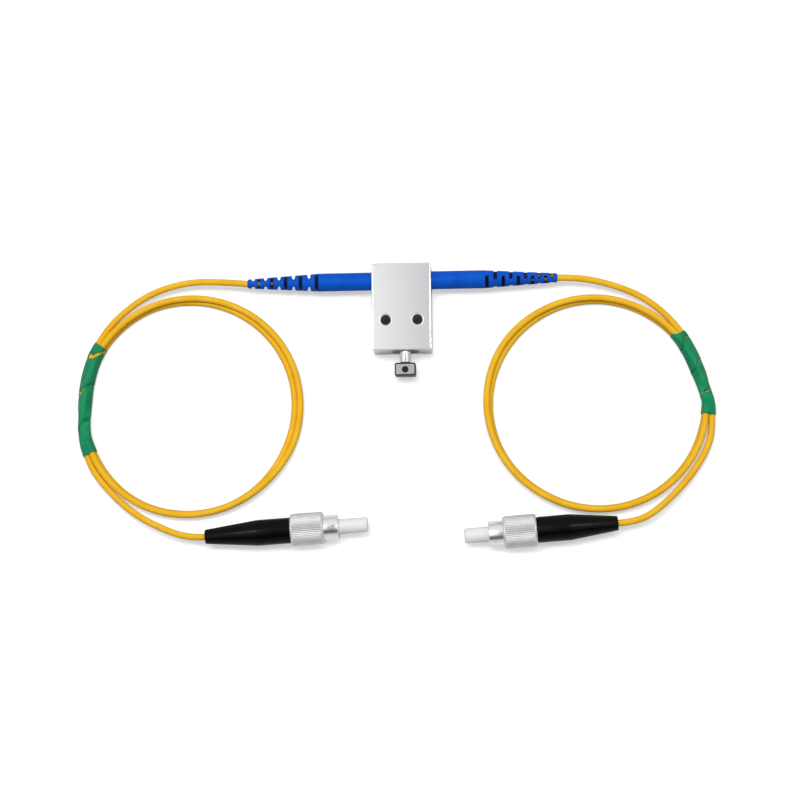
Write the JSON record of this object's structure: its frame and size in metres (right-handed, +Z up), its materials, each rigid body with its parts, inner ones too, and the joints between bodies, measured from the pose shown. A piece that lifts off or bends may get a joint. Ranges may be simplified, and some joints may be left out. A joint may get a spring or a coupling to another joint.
{
  "type": "variable optical attenuator",
  "caption": "Manual in-line fibre attenuator: a small metal block with an adjusting screw and slotted strain reliefs, coiled cables and threaded fibre plugs.",
  "frame": {"origin": "middle of the housing's base face", "axes": "+X along the fibre line, +Y from the knob to the back of the housing, +Z up"},
  "size_m": [0.194, 0.0866, 0.01],
  "materials": {
    "housing_aluminium": "satin anodised",
    "bush_brass": "turned",
    "screw_steel": "polished",
    "knob_grey": "grey anodised",
    "grub_black": "black oxide",
    "pin_black": "blackened",
    "spring_steel": "drawn wire",
    "collimator_gold": "gold plated",
    "lens_glass": "polished",
    "fibre_white": "tight buffer",
    "post_nickel": "nickel plated",
    "sleeve_metal": "crimped",
    "relief_blue": "soft moulded",
    "cable_yellow": "soft sheath",
    "tape_green": "stretched tape",
    "boot_black": "soft moulded",
    "nut_nickel": "nickel plated, straight knurl",
    "barrel_chrome": "polished plating",
    "ferrule_ceramic": "polished zirconia",
    "cap_clear": "translucent moulding"
  },
  "bodies": {
    "base": {"housing": "housing_aluminium", "screw_bush": "bush_brass", "return_spring": "spring_steel", "collimator_tube_left": "collimator_gold", "collimator_lens_left": "lens_glass", "fibre_capillary_left": "lens_glass", "buffered_fibre_left": "fibre_white", "cable_post_left": "post_nickel", "crimp_sleeve_left": "sleeve_metal", "cable_in_relief_left": "cable_yellow", "strain_relief_left": "relief_blue", "cable_lead_left": "cable_yellow", "cable_coil_left": "cable_yellow", "coil_tape_left": "tape_green", "cable_tail_left": "cable_yellow", "cable_in_plug_left": "cable_yellow", "plug_boot_left": "boot_black", "plug_crimp_sleeve_left": "sleeve_metal", "plug_stem_left": "post_nickel", "plug_barrel_left": "barrel_chrome", "ferrule_spring_left": "spring_steel", "collimator_tube_right": "collimator_gold", "collimator_lens_right": "lens_glass", "fibre_capillary_right": "lens_glass", "buffered_fibre_right": "fibre_white", "cable_post_right": "post_nickel", "crimp_sleeve_right": "sleeve_metal", "cable_in_relief_right": "cable_yellow", "strain_relief_right": "relief_blue", "cable_lead_right": "cable_yellow", "cable_coil_right": "cable_yellow", "coil_tape_right": "tape_green", "cable_tail_right": "cable_yellow", "cable_in_plug_right": "cable_yellow", "plug_boot_right": "boot_black", "plug_crimp_sleeve_right": "sleeve_metal", "plug_stem_right": "post_nickel", "plug_barrel_right": "barrel_chrome", "ferrule_spring_right": "spring_steel"},
    "shutter": {"shutter_pin": "pin_black"},
    "adjuster": {"adjusting_screw": "screw_steel", "knob": "knob_grey", "knob_grub_screw": "grub_black"},
    "left_nut": {"coupling_nut_left": "nut_nickel"},
    "left_ferrule_set": {"ferrule_left": "ferrule_ceramic", "ferrule_flange_left": "post_nickel"},
    "left_cap": {"dust_cap_left": "cap_clear"},
    "right_nut": {"coupling_nut_right": "nut_nickel"},
    "right_ferrule_set": {"ferrule_right": "ferrule_ceramic", "ferrule_flange_right": "post_nickel"},
    "right_cap": {"dust_cap_right": "cap_clear"}
  },
  "joints": [
    {"name": "shutter_slide", "type": "slide", "parent": "base", "child": "shutter", "axis": [0, 1, 0], "range_m": [-0.00035, 0.00245], "deforming": ["return_spring"]},
    {"name": "screw_turn", "type": "hinge", "parent": "shutter", "child": "adjuster", "pos_m": [0.0008, -0.01325, 0.005], "axis": [0, 1, 0], "range_deg": [-361, 2521]},
    {"name": "left_nut_spin", "type": "hinge", "parent": "base", "child": "left_nut", "pos_m": [-0.0343, -0.0669, 0.0049], "axis": [0.998, 0.0628, 0], "continuous": true},
    {"name": "left_ferrule_float", "type": "slide", "parent": "base", "child": "left_ferrule_set", "axis": [0.998, 0.0628, 0], "range_m": [-0.001, 0], "stiffness_N_per_m": 300, "springref_m": 0.002, "deforming": ["ferrule_spring_left"]},
    {"name": "left_cap_pull", "type": "slide", "parent": "base", "child": "left_cap", "axis": [0.998, 0.0628, 0], "range_m": [0, 0.0085]},
    {"name": "right_nut_spin", "type": "hinge", "parent": "base", "child": "right_nut", "pos_m": [0.0396, -0.0678, 0.0049], "axis": [-0.9976, -0.0698, 0], "continuous": true},
    {"name": "right_ferrule_float", "type": "slide", "parent": "base", "child": "right_ferrule_set", "axis": [-0.9976, -0.0698, 0], "range_m": [-0.001, 0], "stiffness_N_per_m": 300, "springref_m": 0.002, "deforming": ["ferrule_spring_right"]},
    {"name": "right_cap_pull", "type": "slide", "parent": "base", "child": "right_cap", "axis": [-0.9976, -0.0698, 0], "range_m": [0, 0.0085]}
  ],
  "couplings": [
    {"joint": "screw_turn", "follows": "shutter_slide", "rad_per_m": 17952}
  ]
}
